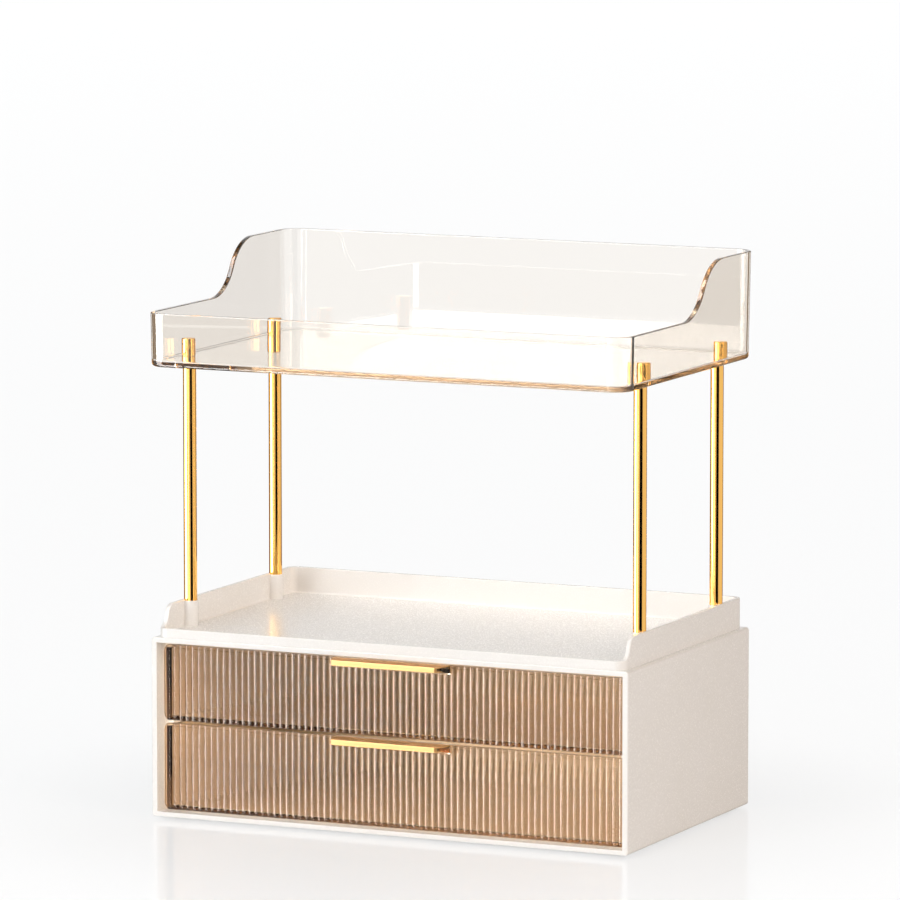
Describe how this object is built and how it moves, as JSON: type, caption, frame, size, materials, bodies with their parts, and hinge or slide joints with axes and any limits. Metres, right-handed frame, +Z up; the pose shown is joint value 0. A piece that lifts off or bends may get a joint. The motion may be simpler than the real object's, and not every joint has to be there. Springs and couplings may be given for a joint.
{
  "type": "makeup organizer with drawers",
  "caption": "Desktop makeup organizer: white drawer housing with fluted amber drawers, a white tray on its roof and a clear upper tray held by gold rods.",
  "frame": {"origin": "on the floor under the middle of the organizer", "axes": "+Z up, the drawers open towards -Y, +X to the right seen from the front"},
  "size_m": [0.3132, 0.1966, 0.3382],
  "materials": {
    "white_abs": "gloss moulded",
    "clear_acrylic": "polished, clear",
    "amber_acrylic": "polished, tinted amber",
    "gold_plate": "polished gold plating",
    "gold_handle": "satin gold anodised",
    "screw_steel": "zinc plated",
    "clear_silicone": "soft translucent pad"
  },
  "bodies": {
    "cabinet": {"housing": "white_abs", "base_tray": "white_abs", "upper_tray": "clear_acrylic", "foot_front_left": "clear_silicone", "foot_front_right": "clear_silicone", "foot_rear_left": "clear_silicone", "foot_rear_right": "clear_silicone", "rod_front_left": "gold_plate", "rod_front_right": "gold_plate", "rod_rear_left": "gold_plate", "rod_rear_right": "gold_plate", "rod_cap_front_left": "gold_plate", "rod_cap_front_right": "gold_plate", "rod_cap_rear_left": "gold_plate", "rod_cap_rear_right": "gold_plate", "rod_screw_front_left": "screw_steel", "rod_screw_front_right": "screw_steel", "rod_screw_rear_left": "screw_steel", "rod_screw_rear_right": "screw_steel"},
    "upper_drawer_unit": {"upper_drawer": "amber_acrylic", "upper_handle": "gold_handle"},
    "lower_drawer_unit": {"lower_drawer": "amber_acrylic", "lower_handle": "gold_handle"}
  },
  "joints": [
    {"name": "upper_drawer_slide", "type": "slide", "parent": "cabinet", "child": "upper_drawer_unit", "axis": [0, -1, 0], "range_m": [0, 0.13]},
    {"name": "lower_drawer_slide", "type": "slide", "parent": "cabinet", "child": "lower_drawer_unit", "axis": [0, -1, 0], "range_m": [0, 0.13]}
  ]
}
